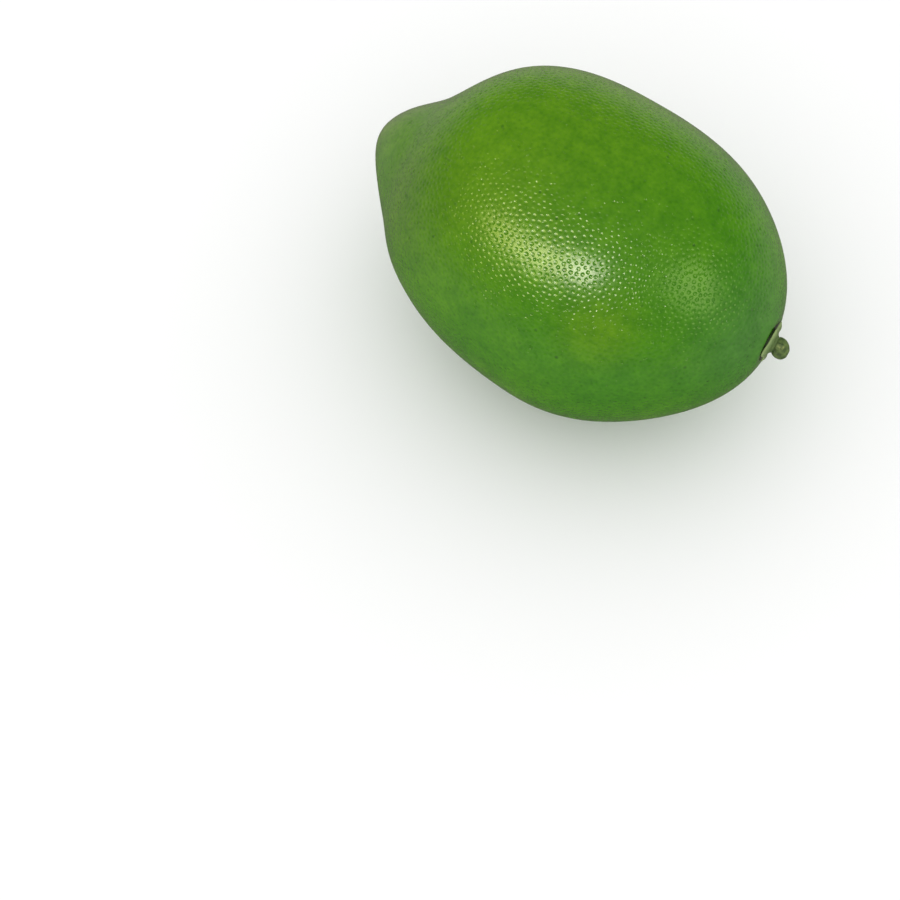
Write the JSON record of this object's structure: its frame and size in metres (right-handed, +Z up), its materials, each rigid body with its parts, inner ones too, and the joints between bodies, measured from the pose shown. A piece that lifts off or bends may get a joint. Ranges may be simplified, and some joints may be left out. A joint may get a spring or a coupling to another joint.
{
  "type": "lime",
  "caption": "Whole green lime lying on its side: oval pitted fruit with a nipple at one end and a star-shaped calyx with a stub of stem at the other.",
  "frame": {"origin": "middle of the small flat spot that the fruit rests on", "axes": "+X along the core toward the stem end, +Z up"},
  "size_m": [0.0673, 0.0463, 0.0454],
  "materials": {
    "rind": "waxy, softly glossy, finely pitted green rind",
    "calyx": "dull, dry yellow-green and olive"
  },
  "bodies": {
    "root": {"fruit": "rind", "calyx": "calyx"}
  },
  "joints": []
}
